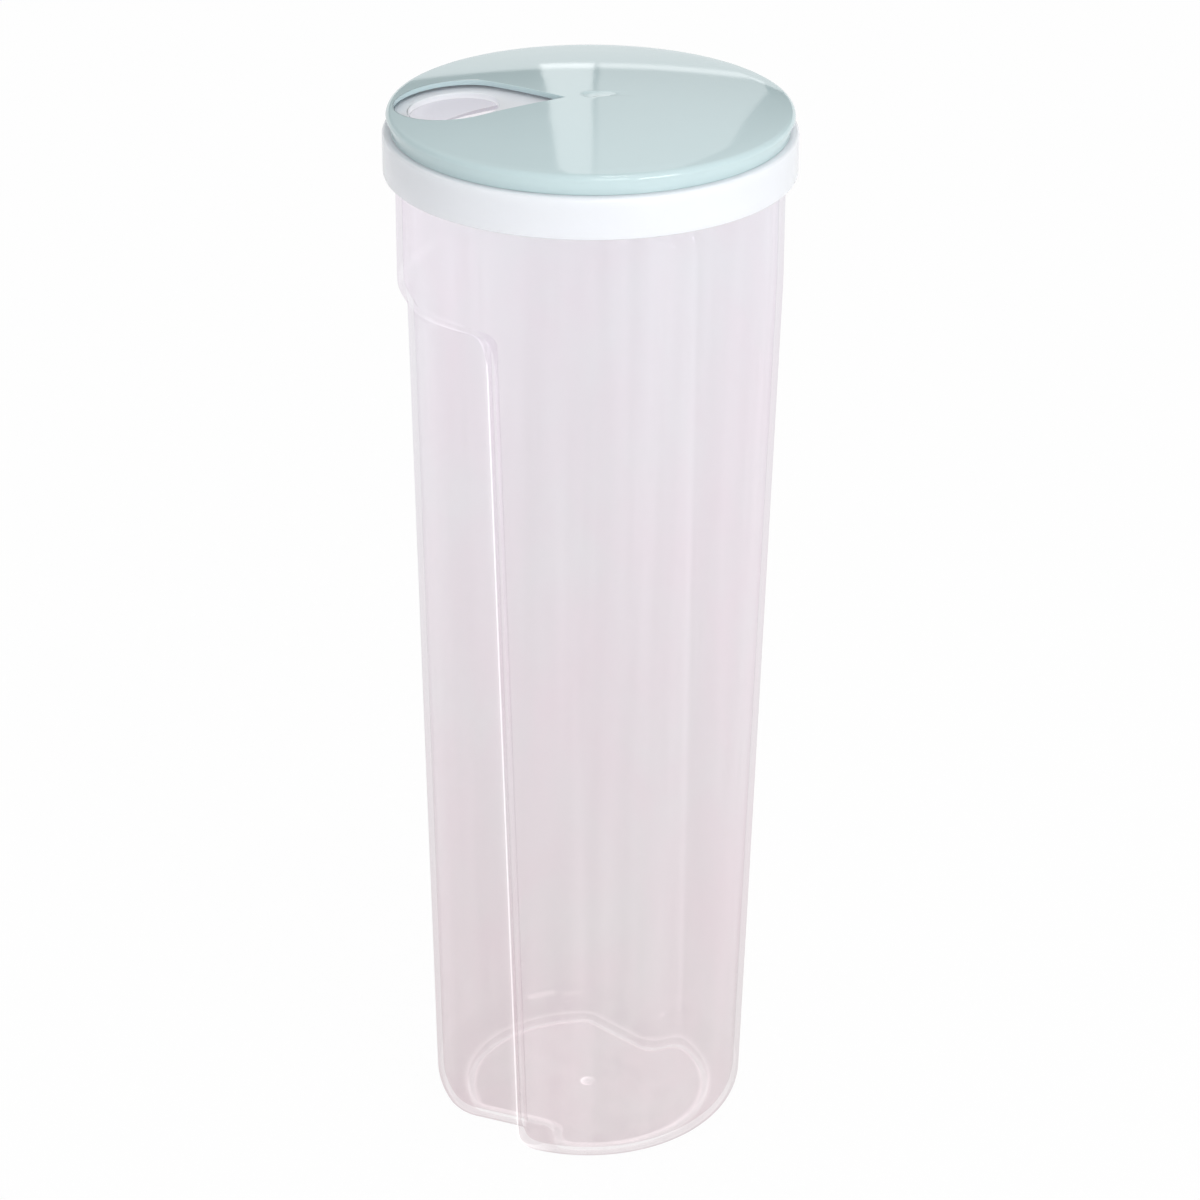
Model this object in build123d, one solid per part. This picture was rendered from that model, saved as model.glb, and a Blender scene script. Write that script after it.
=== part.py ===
from build123d import *
import math
import os

# Pasta storage canister: a tall clear body with a hand grip moulded into it, a press-on lid with one
# portion hole, and a domed cover that turns on the lid and has a teardrop opening.
# Millimetres, +Z up, the origin is the centre of the base on the surface that it stands on.
# The front of the object is towards -Y.

# Body
base_radius = 42.1            # outer radius where the taper meets the floor plane
collar_radius = 49.4          # straight collar between the grip's ledge and the mouth
mouth_height = 282.0          # top face of the body's rim
body_wall = 1.6
floor_thickness = 2.4
base_round = 8.2              # outer rounding where the wall meets the base
bead_depth = 1.2              # thicker lip at the mouth
bead_height = 3.0
foot_width = 1.8              # flat ring that the body stands on
foot_height = 0.8             # depth of the hollow inside the foot ring
hollow_corner = 6.5           # rounding of the foot hollow's two inward corners
hollow_edge = 3.0             # rounding of its two outward corners at the steps
gate_radius = 1.9             # moulding mark in the middle of the base
gate_height = 0.4

# Hand grip: the side of the body that the hand closes round is narrower, with two flat faces and a step
# at the end of each. It is laid out with the grip towards -X, then turned to its place on the body.
grip_turn = -33.25            # degrees about Z
grip_step_low = 9.2           # how far each flat face lies inside the round body at the base
grip_step_high = 10.0         # the same at the ledge
grip_flat_angle = 11.0        # how far each flat face opens towards the grip, degrees
grip_back_draw = 2.35         # how far the grip's round back lies inside the body's taper at the ledge
grip_back_blend = 13.0        # rounding between a flat face and the round back
step_edge_low = 4.6           # where the step's edge stands along X at the base
step_edge_high = 1.4          # the same at the ledge
step_angle = 22.8             # slant of the step's wall from square, degrees
collar_height = 38.4          # from the grip's ledge up to the mouth
ledge_drop = 4.2              # height of the sloping ledge where the grip ends below the collar
ledge_lift = 0.4              # inside, the ledge stands this share of the wall higher
step_corner = 6.3             # rounding where the ledge meets the step's edge
web_relief = 0.05             # that rounding's web lies this far inside the taper

# Portion lid
lid_wall = 1.55
lid_skirt_length = 8.8        # from the seat on the mouth down to the skirt's edge
lid_clearance = 0.35          # between the lid and the body's rim, on both sides of it
lid_shoulder = 1.8            # thickness over the rim
lid_plate = 1.6               # the plate is domed like the cover that turns over it
plate_clearance = 0.8         # between the plate and the cover's underside
plug_depth = 6.0
plug_wall = 1.3
portion_radius = 11.4
boss_radius = 5.2

# Rotating cover
cover_inset = 1.0             # the cover's side stands this far inside the lid's skirt
cover_wall = 1.35
cover_edge_round = 1.2
cover_rim = 5.3               # top of the cover's rim above the lid's shoulder
cover_rise = 3.4              # how far the dome stands above the rim
cover_clearance = 0.3
opening_margin = 3.8          # the teardrop's round end is this much wider than the portion hole
opening_rim = 1.9             # what is left of the cover beyond the teardrop's round end
opening_angle = 179.0         # direction from the pivot to the portion hole and the teardrop, degrees
opening_lead = 19.0           # the teardrop's point is turned this far past its round end
opening_tip = 6.8             # pivot to the teardrop's point
dimple_radius = 1.9           # moulding mark over the pivot
dimple_depth = 0.3

# Pivot: a split snap pin moulded under the cover
pin_radius = 3.0
pin_clearance = 0.05          # radial, a running fit
barb_depth = 0.75             # how far the barbs stand out beyond the pin
barb_length = 2.4
barb_taper = 1.3              # how much narrower the pin's tip is than its barbs
barb_gap = 0.2                # between the barbs and the lid's plate
slot_width = 1.2
slot_length = 4.5

overrun = 1.0                 # how far cutting shapes run past what they cut
core_reach = 14.0             # how far the grip's form reaches past the axis into the rest of the body
level = 0.01                  # edges this close to a height are taken to lie at it

# Sizes that follow from the ones above
ledge_high = mouth_height - collar_height
ledge_low = ledge_high - ledge_drop
grip_flat_low = base_radius - grip_step_low
grip_flat_high = collar_radius - grip_step_high
mouth_radius = collar_radius - body_wall
bead_radius = collar_radius + bead_depth
skirt_inner = bead_radius + lid_clearance
skirt_outer = skirt_inner + lid_wall
skirt_bottom = mouth_height - lid_skirt_length
shoulder_top = mouth_height + lid_shoulder
plug_outer = mouth_radius - lid_clearance
plug_inner = plug_outer - plug_wall
cover_radius = skirt_outer - cover_inset
cover_inner = cover_radius - cover_wall
turret_radius = cover_inner - cover_clearance
cover_bottom = shoulder_top + cover_clearance
cover_rim_height = shoulder_top + cover_rim
opening_radius = portion_radius + opening_margin
opening_offset = cover_radius - opening_rim - opening_radius
dome_radius = (cover_radius ** 2 + cover_rise ** 2) / (2 * cover_rise)
dome_centre = cover_rim_height + cover_rise - dome_radius
plate_drop = cover_wall + plate_clearance
hole_radius = pin_radius + pin_clearance


def lifted(height, inset):
    """Height of an edge of the ledge: inside it stands higher, so that the slope keeps its wall."""
    return height + ledge_lift * inset


def body_radius(z, inset=0):
    """Radius of the taper at height z, or with an inset of the space inside it."""
    draft = (collar_radius - base_radius) / lifted(ledge_high, inset)
    return base_radius + draft * z - inset


def dome_height(r, drop=0.0):
    """Height of the cover's dome at radius r, or of a surface that lies drop below it."""
    return dome_centre + math.sqrt((dome_radius - drop) ** 2 - r ** 2)


def polar(radius, degrees):
    return (radius * math.cos(math.radians(degrees)), radius * math.sin(math.radians(degrees)))


def turned(profile):
    """Solid of revolution from a closed list of (radius, height) points."""
    face = make_face(Plane.XZ * Polyline(*profile, close=True))
    return revolve(face, Axis.Z)


def edges_at(solid, height):
    """The edges that lie flat at one height."""
    return solid.edges().filter_by_position(Axis.Z, height - level, height + level)


def tapered_core(inset, bottom, top):
    """The body's plain round taper, without its collar or grip."""
    return turned([
        (0, bottom),
        (body_radius(bottom, inset), bottom),
        (body_radius(top, inset), top),
        (0, top),
    ])


def step_plan(inset, height):
    """Plan of everything on the far side of the two steps from the grip, at one height."""
    slope = math.tan(math.radians(step_angle))
    share = height / ledge_high
    edge = step_edge_low + (step_edge_high - step_edge_low) * share
    middle = edge - slope * body_radius(height) + inset / math.cos(math.radians(step_angle))
    reach = 2 * collar_radius
    outside = middle + slope * reach
    beyond = middle + 2 * reach
    corners = [(middle, 0), (outside, -reach), (beyond, -reach), (beyond, reach), (outside, reach)]
    return Pos(0, 0, height) * make_face(Polyline(*corners, close=True))


def step_space(inset, bottom, top):
    """The same from one height to another: the plan only slides along X as it rises."""
    low = step_plan(inset, bottom)
    lean = step_plan(inset, top).bounding_box().min.X - low.bounding_box().min.X
    rise = Vector(lean, 0, top - bottom)
    return extrude(low, rise.length, dir=rise)


def grip_sizes(height):
    """Distance of the flat faces and radius of the round back at one height."""
    share = height / ledge_low
    flat = grip_flat_low + (grip_flat_high - grip_flat_low) * share
    return flat, body_radius(height) - grip_back_draw * share


def flat_end(flat, back):
    """Direction of the corner where a flat face would meet the round back, in degrees."""
    return 90 - grip_flat_angle + math.degrees(math.acos(flat / back))


def grip_plan(inset, height):
    """Plan of the grip at one height: two flat faces and a round back, blended into one another."""
    flat, back = grip_sizes(height)
    flat, back = flat - inset, back - inset
    corner = polar(back, flat_end(flat, back))
    slope = math.tan(math.radians(grip_flat_angle))
    core_y = corner[1] - slope * (core_reach - corner[0])
    outline = (
        Line((core_reach, -core_y), (core_reach, core_y))
        + Line((core_reach, core_y), corner)
        + ThreePointArc(corner, (-back, 0), (corner[0], -corner[1]))
        + Line((corner[0], -corner[1]), (core_reach, -core_y))
    )
    face = make_face(outline)
    corners = face.vertices().filter_by_position(Axis.X, -back, 0)
    return Pos(0, 0, height) * fillet(corners, grip_back_blend - inset)


def ledge_plan(inset, height):
    """The same plan grown out to the body's own radius, at the ledge's upper edge."""
    full = body_radius(height, inset)
    core_y = math.sqrt(full ** 2 - core_reach ** 2)
    flat, back = grip_sizes(ledge_low)
    blend = math.degrees(math.asin(grip_back_blend / back)) / 2
    near = flat_end(flat, back) - blend
    far = flat_end(flat, back) + blend
    start = math.degrees(math.atan2(core_y, core_reach))

    def arc(first, last):
        return ThreePointArc(polar(full, first), polar(full, (first + last) / 2), polar(full, last))

    outline = (
        Line((core_reach, -core_y), (core_reach, core_y))
        + arc(start, near)
        + arc(near, far)
        + arc(far, 360 - far)
        + arc(360 - far, 360 - near)
        + arc(360 - near, 360 - start)
    )
    return Pos(0, 0, height) * make_face(outline)


def corner_web(inset, side):
    """Material that rounds the outer corner between the ledge and one step's edge."""
    radius = step_corner + inset
    right = step_edge_high + inset
    top = lifted(ledge_high, inset)
    middle = radius * (1 - math.sqrt(0.5))
    outline = (
        ThreePointArc((right - radius, top), (right - middle, top - middle), (right, top - radius))
        + Polyline(
            (right, top - radius),
            (right + overrun, top - radius),
            (right + overrun, top + overrun),
            (right - radius, top + overrun),
            (right - radius, top),
        )
    )
    web = extrude(Plane.XZ * make_face(outline), collar_radius, dir=(0, side, 0))
    return web & tapered_core(inset + web_relief, ledge_low - 2 * step_corner, top + overrun)


def collar_form(inset, top):
    """The straight collar above the grip's ledge."""
    bottom = lifted(ledge_high, inset)
    return Pos(0, 0, bottom) * extrude(Circle(collar_radius - inset), top - bottom)


def body_form(inset, bottom, top):
    """The body's outer form, or with an inset the form of the space inside it."""
    rounding = base_round - inset
    low = lifted(ledge_low, inset)
    high = lifted(ledge_high, inset)
    far_side = tapered_core(inset, bottom, high) & step_space(inset, bottom - overrun, high + overrun)
    far_side = fillet(edges_at(far_side, bottom), rounding)
    grip = loft([grip_plan(inset, bottom), grip_plan(inset, low)], ruled=True)
    grip = fillet(edges_at(grip, bottom).sort_by(Axis.X)[:-1], rounding)
    ledge = loft([grip_plan(inset, low), ledge_plan(inset, high)], ruled=True)
    webs = [corner_web(inset, side) for side in (-1, 1)]
    return Part() + [far_side, grip, ledge, collar_form(inset, top), *webs]


def foot_hollow():
    """The shallow hollow in the base, which leaves a flat foot ring to stand on."""
    back = base_round + foot_width
    plan = Circle(base_radius - back) & step_plan(back, 0)
    plan += grip_plan(back, 0)
    corners = plan.vertices().filter_by_position(Axis.X, 0, base_radius)
    inward = [corner for corner in corners if math.hypot(corner.X, corner.Y) < base_radius - back - overrun]
    plan = fillet(inward, hollow_corner)
    outward = plan.vertices().filter_by_position(Axis.X, 0, base_radius).sort_by(Axis.Y)
    return extrude(fillet([outward[0], outward[-1]], hollow_edge), foot_height)


def canister_body():
    outer = body_form(0, 0, mouth_height)
    inner = body_form(body_wall, floor_thickness, mouth_height + overrun)
    bead_bottom = mouth_height - bead_height
    outer += turned([
        (mouth_radius, bead_bottom - bead_depth),
        (collar_radius, bead_bottom - bead_depth),
        (bead_radius, bead_bottom),
        (bead_radius, mouth_height),
        (mouth_radius, mouth_height),
    ])
    body = outer - inner - foot_hollow()
    body += Pos(0, 0, foot_height - gate_height) * extrude(Circle(gate_radius), gate_height)
    return Rot(0, 0, grip_turn) * body


def dome_arc(inside, outside, drop):
    """A line of the dome in section, from one radius out to another."""
    middle = (inside + outside) / 2
    return ThreePointArc(
        (inside, dome_height(inside, drop)),
        (middle, dome_height(middle, drop)),
        (outside, dome_height(outside, drop)),
    )


def portion_lid():
    plug_bottom = mouth_height - plug_depth
    boss_top = dome_height(boss_radius, cover_wall) - cover_clearance
    under_drop = plate_drop + lid_plate
    boss = Polyline(
        (hole_radius, dome_height(hole_radius, under_drop)),
        (hole_radius, boss_top),
        (boss_radius, boss_top),
        (boss_radius, dome_height(boss_radius, plate_drop)),
    )
    side = Polyline(
        (turret_radius, dome_height(turret_radius, plate_drop)),
        (turret_radius, shoulder_top),
        (skirt_outer, shoulder_top),
        (skirt_outer, skirt_bottom),
        (skirt_inner, skirt_bottom),
        (skirt_inner, mouth_height),
        (plug_outer, mouth_height),
        (plug_outer, plug_bottom),
        (plug_inner, plug_bottom),
        (plug_inner, dome_height(plug_inner, under_drop)),
    )
    top = dome_arc(boss_radius, turret_radius, plate_drop)
    under = dome_arc(hole_radius, plug_inner, under_drop)
    lid = revolve(Plane.XZ * make_face(boss + top + side + under), Axis.Z)
    hole_x, hole_y = polar(opening_offset, opening_angle)
    hole = extrude(Circle(portion_radius), cover_rim_height - plug_bottom + 2 * overrun)
    return lid - Pos(hole_x, hole_y, plug_bottom - overrun) * hole


def teardrop():
    """Plan of the cover's opening: a round end drawn out to a point beside the pivot."""
    centre = polar(opening_offset, opening_angle)
    tip = polar(opening_tip, opening_angle + opening_lead)
    toward = math.degrees(math.atan2(tip[1] - centre[1], tip[0] - centre[0]))
    spread = math.degrees(math.acos(opening_radius / math.dist(centre, tip)))

    def on_end(degrees):
        dx, dy = polar(opening_radius, degrees)
        return (centre[0] + dx, centre[1] + dy)

    first = on_end(toward + spread)
    last = on_end(toward - spread)
    round_end = ThreePointArc(first, on_end(toward + 180), last)
    return make_face(Line(tip, first) + round_end + Line(last, tip))


def turn_cover():
    top = dome_arc(0, cover_radius, 0)
    under = dome_arc(0, cover_inner, cover_wall)
    skirt = Polyline(
        (cover_radius, cover_rim_height),
        (cover_radius, cover_bottom),
        (cover_inner, cover_bottom),
        (cover_inner, dome_height(cover_inner, cover_wall)),
    )
    axis = Line((0, dome_height(0, cover_wall)), (0, dome_height(0)))
    section = make_face(top + skirt + under + axis)
    rim = section.vertices().sort_by_distance((cover_radius, cover_rim_height))[0]
    cover = revolve(Plane.XZ * fillet(rim, cover_edge_round), Axis.Z)
    cover -= Pos(0, 0, cover_bottom) * extrude(teardrop(), cover_rim_height + cover_rise)
    cover -= Pos(0, 0, dome_height(0) - dimple_depth) * extrude(Circle(dimple_radius), 2 * overrun)
    return cover + snap_pin()


def snap_pin():
    """The split pin under the cover, with barbs that hold it below the lid's plate."""
    barb_top = dome_height(pin_radius + barb_depth, plate_drop + lid_plate) - barb_gap
    barb_radius = pin_radius + barb_depth
    pin = turned([
        (0, barb_top - barb_length),
        (barb_radius - barb_taper, barb_top - barb_length),
        (barb_radius, barb_top),
        (pin_radius, barb_top),
        (pin_radius, dome_height(0, cover_wall / 2)),
        (0, dome_height(0, cover_wall / 2)),
    ])
    slot = Box(slot_width, 4 * pin_radius, slot_length, align=(Align.CENTER, Align.CENTER, Align.MIN))
    return pin - Pos(0, 0, barb_top - barb_length) * slot


os.makedirs("parts", exist_ok=True)
parts = {
    "canister_body": canister_body(),
    "portion_lid": portion_lid(),
    "turn_cover": turn_cover(),
}
for name, shape in parts.items():
    export_step(shape, f"parts/{name}.step")
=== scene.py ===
import math
import bpy
from mathutils import Matrix, Vector


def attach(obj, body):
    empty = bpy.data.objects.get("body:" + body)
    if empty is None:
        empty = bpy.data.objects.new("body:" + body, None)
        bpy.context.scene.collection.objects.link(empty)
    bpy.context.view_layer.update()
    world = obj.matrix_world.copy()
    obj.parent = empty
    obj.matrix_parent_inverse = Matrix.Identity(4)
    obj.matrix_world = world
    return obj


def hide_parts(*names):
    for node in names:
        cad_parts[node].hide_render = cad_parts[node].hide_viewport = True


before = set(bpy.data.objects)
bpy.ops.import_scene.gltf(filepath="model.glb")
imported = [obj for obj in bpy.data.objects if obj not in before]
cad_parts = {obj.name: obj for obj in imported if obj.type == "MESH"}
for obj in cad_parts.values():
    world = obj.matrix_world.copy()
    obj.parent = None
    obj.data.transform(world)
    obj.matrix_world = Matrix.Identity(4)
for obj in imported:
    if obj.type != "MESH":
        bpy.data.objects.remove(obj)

print("frame loaded:", len(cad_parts), "nodes")
mm = 0.001
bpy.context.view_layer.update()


def makeMesh(name, points, faces, material, layers=None):
    mesh = bpy.data.meshes.new(name)
    mesh.from_pydata([tuple(mm * c for c in p) for p in points], [], faces)
    for layerName, values in (layers or {}).items():
        layer = mesh.attributes.new(layerName, "FLOAT", "POINT")
        layer.data.foreach_set("value", values)
    for polygon in mesh.polygons:
        polygon.use_smooth = True
    mesh.materials.append(material)
    piece = bpy.data.objects.new(name, mesh)
    bpy.context.scene.collection.objects.link(piece)
    return piece


def skinRings(rings, loop=False, firstPole=None, lastPole=None):
    # quads between neighbouring rings of equal length, with fans to a pole at either end
    count = len(rings[0])
    points = [p for ring in rings for p in ring]
    faces = []
    pairs = len(rings) if loop else len(rings) - 1
    for row in range(pairs):
        a, b = row * count, (row + 1) % len(rings) * count
        for i in range(count):
            j = (i + 1) % count
            faces.append((a + i, a + j, b + j, b + i))
    if firstPole is not None:
        pole = len(points)
        points.append(firstPole)
        faces += [(pole, (i + 1) % count, i) for i in range(count)]
    if lastPole is not None:
        pole = len(points)
        base = (len(rings) - 1) * count
        points.append(lastPole)
        faces += [(pole, base + i, base + (i + 1) % count) for i in range(count)]
    return points, faces


def roundedCorner(start, corner, end, steps):
    # circular arc between two points whose tangents meet at the corner
    a, b = Vector(start) - Vector(corner), Vector(end) - Vector(corner)
    weight = math.sin(a.angle(b) / 2)
    out = []
    for k in range(steps + 1):
        t = k / steps
        w0, w1, w2 = (1 - t) ** 2, 2 * weight * t * (1 - t), t * t
        total = w0 + w1 + w2
        out.append(tuple((w0 * s + w1 * c + w2 * e) / total for s, c, e in zip(start, corner, end)))
    return out


def spread(a, b, steps):
    return [a + (b - a) * k / steps for k in range(steps + 1)]


def arcPoints(centre, radius, start, end, steps):
    return [centre + Vector((math.cos(t), math.sin(t))) * radius for t in spread(start, end, steps)]


def roundedProfile(corners, steps=4):
    # corners are (radius, height, rounding); each rounding becomes a short arc
    out = []
    count = len(corners)
    for k in range(count):
        here = Vector(corners[k][:2])
        back = Vector(corners[k - 1][:2]) - here
        on = Vector(corners[(k + 1) % count][:2]) - here
        size = corners[k][2]
        if size == 0:
            out.append(tuple(here))
            continue
        half = back.angle(on) / 2
        reach = size / math.tan(half)
        out += roundedCorner(here + back.normalized() * reach, here, here + on.normalized() * reach, steps)
    return out


canister = {
    "baseRadius": 42.1, "collarRadius": 49.4, "mouthHeight": 282.0, "wall": 1.6, "floor": 2.4,
    "baseRound": 8.2, "beadDepth": 1.2, "beadHeight": 3.0, "footWidth": 1.8, "footHeight": 0.8,
    "gateRadius": 1.9, "gateHeight": 0.4,
    "gripTurn": -33.25, "flatLow": 32.9, "flatHigh": 39.4, "flatAngle": 11.0,
    "backDraw": 2.35, "backBlend": 13.0, "edgeLow": 4.6, "edgeHigh": 1.4, "stepAngle": 22.8,
    "ledgeHigh": 243.6, "ledgeDrop": 4.2, "ledgeLift": 0.4, "cornerRound": 6.3,
    "edgeRound": 0.7, "edgeSpread": 0.35, "insideRound": 4.0, "creaseRound": 0.7,
    "outsideCatch": 1.0, "insideCatch": 0.25, "rearCatch": 0.15, "thinBase": 0.3,
    "ledgeShine": 0.75, "ledgeShineFall": 0.6, "shineBelow": 1.2, "shineWidth": 0.8,
    "sideFade": 7, "backFadeStart": 24, "backFade": 24,
    "wallSteps": 40, "rampSteps": 18, "collarSteps": 8, "baseSteps": 14, "insideBaseSteps": 12,
}
# how many points each run of the half plan has, from the round side to the back
runs = {"side": 40, "edge": 4, "wall": 8, "corner": 8, "flat": 12, "blend": 14, "back": 16}


def taperRadius(z, inset):
    c = canister
    top = c["ledgeHigh"] + c["ledgeLift"] * inset
    return c["baseRadius"] + (c["collarRadius"] - c["baseRadius"]) * min(z, top) / top - inset


def gripSection(z, inset):
    # upper half of the body's plan at one height, as runs of points with the same count at every height
    c = canister
    radius = taperRadius(z, inset)
    full = taperRadius(z, 0)
    share = min(z, c["ledgeHigh"]) / c["ledgeHigh"]
    flatShare = z / (c["ledgeHigh"] - c["ledgeDrop"])
    slope = math.tan(math.radians(c["stepAngle"]))
    edge = c["edgeLow"] + (c["edgeHigh"] - c["edgeLow"]) * share
    middle = edge - slope * full + inset / math.cos(math.radians(c["stepAngle"]))
    a = math.radians(c["flatAngle"])
    normal = Vector((math.sin(a), math.cos(a)))
    along = Vector((-math.cos(a), math.sin(a)))
    flat = c["flatLow"] + (c["flatHigh"] - c["flatLow"]) * flatShare - inset
    back = full - c["backDraw"] * flatShare - inset
    blend = max(c["backBlend"] - inset, 1.0)

    # where the step's wall meets the round side, and where it meets the flat face
    qa, qb, qc = 1 + slope ** 2, 2 * slope * middle, middle ** 2 - radius ** 2
    edgeY = (-qb + math.sqrt(qb ** 2 - 4 * qa * qc)) / (2 * qa)
    edgePoint = Vector((middle + slope * edgeY, edgeY))
    insideY = (flat - normal.x * middle) / (normal.x * slope + normal.y)
    inside = Vector((middle + slope * insideY, insideY))
    down = (inside - edgePoint).normalized()
    wallLength = (inside - edgePoint).length

    turn = down.angle(along)
    insideRound = c["insideRound"] + inset
    edgeReach = c["edgeRound"] + c["edgeSpread"] * inset
    reach = min(insideRound * math.tan(turn / 2), 0.95 * wallLength - edgeReach)

    centre = normal * (flat - blend) + along * math.sqrt((back - blend) ** 2 - (flat - blend) ** 2)
    blendStart = math.atan2(normal.y, normal.x)
    blendEnd = math.atan2(centre.y, centre.x)
    flatEnd = centre + normal * blend

    edgeAngle = math.atan2(edgePoint.y, edgePoint.x) - edgeReach / radius
    axis = Vector((0, 0))
    points = arcPoints(axis, radius, 0, edgeAngle, runs["side"])
    onWall = edgePoint + down * edgeReach
    points += [Vector(p) for p in roundedCorner(points[-1], edgePoint, onWall, runs["edge"])[1:]]
    wallEnd = inside - down * reach
    # the wall's points crowd towards its outer edge
    points += [onWall.lerp(wallEnd, share ** 1.6) for share in spread(0, 1, runs["wall"])[1:]]
    flatStart = inside + along * reach
    points += [Vector(p) for p in roundedCorner(wallEnd, inside, flatStart, runs["corner"])[1:]]
    points += [flatStart.lerp(flatEnd, share) for share in spread(0, 1, runs["flat"])[1:]]
    points += arcPoints(centre, blend, blendStart, blendEnd, runs["blend"])[1:]
    points += arcPoints(axis, back, blendEnd, math.pi, runs["back"])[1:]
    return points


sideCount = runs["side"] + 1
restCount = runs["flat"] + runs["blend"] + runs["back"]
# how much painted highlight each point of the half plan gets: side, step's edge, its wall, inside corner, the
# rest
planHighlight = [0.0] * sideCount + [1.0] * runs["edge"] + [0.5, 0.25, 0.12, 0.08, 0.06, 0.06, 0.06, 0.08]
planHighlight += [0.12, 0.2, 0.28, 0.3, 0.28, 0.2, 0.12, 0.06] + [0.0] * restCount


def ledgeHeight(index, upper, top, inset):
    # height of the ledge's upper crease above one point of the plan, with its rounded corner at the step
    c = canister
    corner = c["cornerRound"] + inset
    if index < sideCount:
        return top - corner * math.exp(-(sideCount - 1 - index) / c["sideFade"])
    p = upper[index]
    away = c["edgeHigh"] + inset - p.x / p.length * taperRadius(top, inset)
    if away >= corner:
        return top
    away = max(away, 0.0)
    return top - corner + math.sqrt(corner ** 2 - (corner - away) ** 2)


def easedRamp(t, soft):
    # straight ramp from 0 to 1 with its two ends rounded over the share soft
    if t <= -soft:
        return 0.0
    if t < soft:
        return (t + soft) ** 2 / (4 * soft)
    if t <= 1 - soft:
        return t
    if t < 1 + soft:
        return 1 - (1 + soft - t) ** 2 / (4 * soft)
    return 1.0


def wholeRing(upper, heights):
    # mirrors the half plan, turns it to the grip's direction and gives it heights
    turn = math.radians(canister["gripTurn"])
    cosT, sinT = math.cos(turn), math.sin(turn)
    half = [(p.x, p.y, z) for p, z in zip(upper, heights)]
    ring = half + [(x, -y, z) for x, y, z in reversed(half[1:-1])]
    return [(x * cosT - y * sinT, x * sinT + y * cosT, z) for x, y, z in ring]


def wholeHighlight(half):
    # the rear step, which is seen through the whole body, gets far less painted highlight than the front one
    return [v * canister["rearCatch"] for v in half] + list(reversed(half[1:-1]))


def flatRing(z, inset):
    upper = gripSection(z, inset)
    return wholeRing(upper, [z] * len(upper))


def wallRings(inset, bottom, top):
    # rings from the base rounding's upper end to the collar, bending round the ledge
    c = canister
    high = c["ledgeHigh"] + c["ledgeLift"] * inset
    drop = c["ledgeDrop"]
    upperAtTop = gripSection(high, inset)
    crease = [ledgeHeight(i, upperAtTop, high, inset) for i in range(len(upperAtTop))]
    soft = c["creaseRound"] / drop
    levels = [("wall", t) for t in spread(0, 1, c["wallSteps"])]
    levels += [("ramp", t) for t in spread(-0.2, 1.2, c["rampSteps"])]  # a little past both creases
    shine = c["outsideCatch"] if inset == 0 else c["insideCatch"]
    rings, paintedHighlights = [], []
    for kind, t in levels:
        points, heights, catch = [], [], []
        for i, creaseZ in enumerate(crease):
            foot = creaseZ - drop
            z = bottom + (foot - 0.25 * drop - bottom) * t if kind == "wall" else foot + drop * t
            p = sectionPoint(i, z, inset)
            lit = planHighlight[i]
            if i >= sideCount:
                ramp = easedRamp((z - foot) / drop, soft)
                radius = taperRadius(z, inset)
                p = p * (1 + (radius / p.length - 1) * ramp)
                # a painted highlight along the ledge's crease, fading towards the back
                back = min(max(i - sideCount - c["backFadeStart"], 0) / c["backFade"], 1)
                ledge = c["ledgeShine"] - c["ledgeShineFall"] * back
                ledge *= math.exp(-(((z - creaseZ + c["shineBelow"]) / c["shineWidth"]) ** 2))
                lit = max(lit * (1 - ramp), ledge)
            points.append(p)
            heights.append(z)
            catch.append(lit * shine)
        rings.append(wholeRing(points, heights))
        paintedHighlights.append(wholeHighlight(catch))
    last = [p.normalized() * (c["collarRadius"] - inset) for p in points]
    start = heights
    for t in spread(0, 1, c["collarSteps"])[1:]:
        rings.append(wholeRing(last, [z + (top - z) * t for z in start]))
        paintedHighlights.append([0.0] * len(rings[-1]))
    return rings, paintedHighlights


sectionStore = {}


def sectionPoint(index, z, inset):
    # plans are worked out every half millimetre and read in between
    step = 0.5
    low = math.floor(z / step)
    both = []
    for level in (low, low + 1):
        key = (level, inset)
        if key not in sectionStore:
            sectionStore[key] = gripSection(level * step, inset)
        both.append(sectionStore[key][index])
    return both[0].lerp(both[1], z / step - low)


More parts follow.
